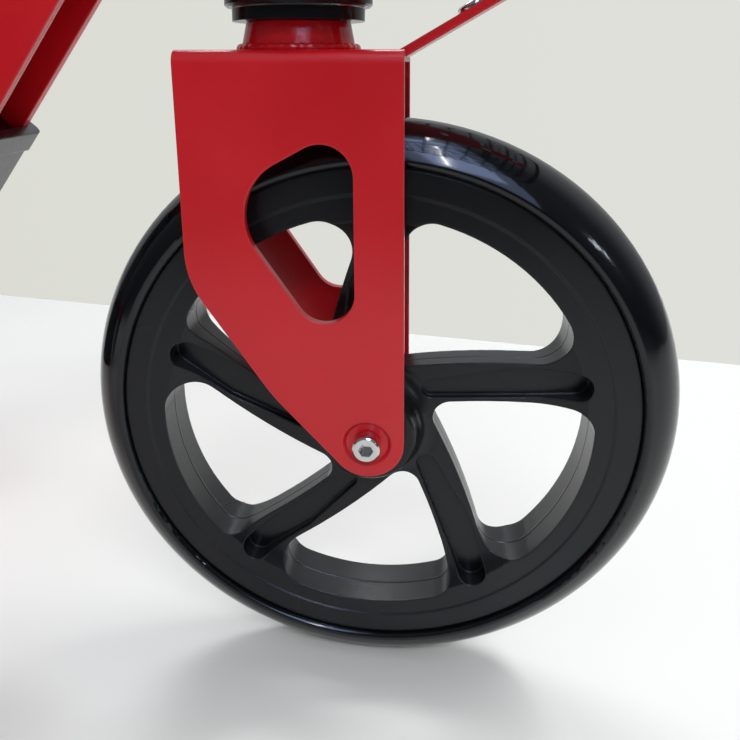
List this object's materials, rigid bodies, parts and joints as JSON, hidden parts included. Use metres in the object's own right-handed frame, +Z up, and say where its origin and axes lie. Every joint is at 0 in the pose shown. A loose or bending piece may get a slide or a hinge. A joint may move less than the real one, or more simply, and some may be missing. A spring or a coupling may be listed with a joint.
{
  "type": "knee scooter",
  "caption": "Folding knee scooter with a steered front wheel in a bent-plate fork, padded knee rest, telescoping handlebar, wire basket and hand-operated rear brake.",
  "frame": {"origin": "on the floor, at the middle of the bounding box", "axes": "+X forwards, +Y to the rider's left, +Z up"},
  "size_m": [0.8, 0.424, 0.903],
  "materials": {
    "frame_paint": "gloss",
    "black_paint": "satin",
    "core_plastic": "satin",
    "moulded_black": "satin",
    "tyre_compound": "gloss",
    "grip_rubber": "matt",
    "shoe_rubber": "matt",
    "bright_steel": "polished",
    "plain_steel": "satin",
    "black_steel": "gloss",
    "alloy": "satin",
    "board_ply": "matt",
    "pad_cover": "satin",
    "basket_coat": "satin"
  },
  "bodies": {
    "frame": {"head_tube": "frame_paint", "lower_headset_cup": "black_steel", "upper_headset_cup": "black_steel", "frame_beam": "frame_paint", "beam_collar": "moulded_black", "base_rail": "frame_paint", "rear_crossbeam": "frame_paint", "axle_plates": "frame_paint", "knee_post_socket": "frame_paint", "knee_socket_bush": "moulded_black", "top_brace": "frame_paint", "knee_clamp_collar": "alloy", "knee_clamp_skewer": "bright_steel", "rear_axle_bolts": "bright_steel", "rear_axle_spacers": "plain_steel", "rear_wheel_bearings": "plain_steel", "brake_bracket": "frame_paint"},
    "steering": {"fork_plate": "frame_paint", "steerer_tube": "frame_paint", "crown_race": "black_steel", "headset_bearings": "plain_steel", "headset_top_nut": "black_steel", "steering_stub": "frame_paint", "hinge_pin": "bright_steel", "front_axle_sleeve": "bright_steel", "front_axle_screw": "bright_steel", "front_axle_spacers": "plain_steel", "front_wheel_bearings": "plain_steel", "basket": "basket_coat", "basket_bracket": "frame_paint", "basket_strap": "frame_paint", "steering_screws": "bright_steel"},
    "front_wheel": {"front_tyre": "tyre_compound", "front_wheel_core": "core_plastic"},
    "rear_left_wheel": {"rear_left_tyre": "tyre_compound", "rear_left_wheel_core": "core_plastic"},
    "rear_right_wheel": {"rear_right_tyre": "tyre_compound", "rear_right_wheel_core": "core_plastic"},
    "knee_support": {"knee_post": "black_paint", "knee_board": "board_ply", "board_screws": "bright_steel", "knee_cushion": "pad_cover"},
    "knee_lever": {"knee_clamp_lever": "alloy"},
    "column": {"hinge_head": "black_paint", "column_tube": "black_paint", "column_bush": "moulded_black", "column_clamp_collar": "alloy", "column_skewers": "bright_steel"},
    "column_lever": {"column_clamp_lever": "alloy"},
    "fold_handle": {"fold_lever": "alloy"},
    "handlebars": {"stem_tube": "alloy", "handlebar": "alloy", "handlebar_grips": "grip_rubber", "brake_perch": "moulded_black", "cable_adjuster": "plain_steel", "lever_pivot_pin": "bright_steel"},
    "brake_handle": {"brake_lever": "alloy"},
    "lock_button": {"parking_lock_button": "moulded_black"},
    "brake_shoe_arm": {"brake_arm": "frame_paint", "brake_shoe": "shoe_rubber"}
  },
  "joints": [
    {"name": "steering_turn", "type": "hinge", "parent": "frame", "child": "steering", "pos_m": [0.2343, 0, 0.307], "axis": [0, 0, 1], "range_deg": [-50, 50]},
    {"name": "front_wheel_spin", "type": "hinge", "parent": "steering", "child": "front_wheel", "pos_m": [0.26, 0, 0.1], "axis": [0, 1, 0], "continuous": true},
    {"name": "rear_left_wheel_spin", "type": "hinge", "parent": "frame", "child": "rear_left_wheel", "pos_m": [-0.3, 0.1432, 0.1], "axis": [0, 1, 0], "continuous": true},
    {"name": "rear_right_wheel_spin", "type": "hinge", "parent": "frame", "child": "rear_right_wheel", "pos_m": [-0.3, -0.1432, 0.1], "axis": [0, 1, 0], "continuous": true},
    {"name": "knee_pad_height", "type": "slide", "parent": "frame", "child": "knee_support", "axis": [0, 0, 1], "range_m": [0, 0.08]},
    {"name": "knee_clamp_lever_swing", "type": "hinge", "parent": "frame", "child": "knee_lever", "pos_m": [-0.1025, 0.0149, 0.285], "axis": [0, 0, -1], "range_deg": [0, 100]},
    {"name": "column_fold", "type": "hinge", "parent": "steering", "child": "column", "pos_m": [0.2123, 0, 0.574], "axis": [0, -1, 0], "range_deg": [0, 90]},
    {"name": "column_clamp_lever_swing", "type": "hinge", "parent": "column", "child": "column_lever", "pos_m": [0.2623, 0.0149, 0.745], "axis": [0, 0, 1], "range_deg": [0, 100]},
    {"name": "fold_lever_swing", "type": "hinge", "parent": "column", "child": "fold_handle", "pos_m": [0.2463, 0.0282, 0.582], "axis": [-1, 0, 0], "range_deg": [0, 100]},
    {"name": "handlebar_height", "type": "slide", "parent": "column", "child": "handlebars", "axis": [0, 0, 1], "range_m": [0, 0.1]},
    {"name": "brake_lever_pull", "type": "hinge", "parent": "handlebars", "child": "brake_handle", "pos_m": [0.2623, -0.072, 0.88], "axis": [0, 0, -1], "range_deg": [0, 16], "stiffness_Nm_per_rad": 0.6, "springref_deg": -8.59},
    {"name": "parking_lock_press", "type": "slide", "parent": "handlebars", "child": "lock_button", "axis": [0, 0, -1], "range_m": [0, 0.003], "stiffness_N_per_m": 300, "springref_m": -0.002},
    {"name": "brake_arm_swing", "type": "hinge", "parent": "frame", "child": "brake_shoe_arm", "pos_m": [-0.248, 0.1132, 0.204], "axis": [0, -1, 0], "range_deg": [0, 3], "stiffness_Nm_per_rad": 2, "springref_deg": -5.73}
  ],
  "couplings": [
    {"joint": "brake_arm_swing", "follows": "brake_lever_pull", "ratio": 0.1875}
  ]
}
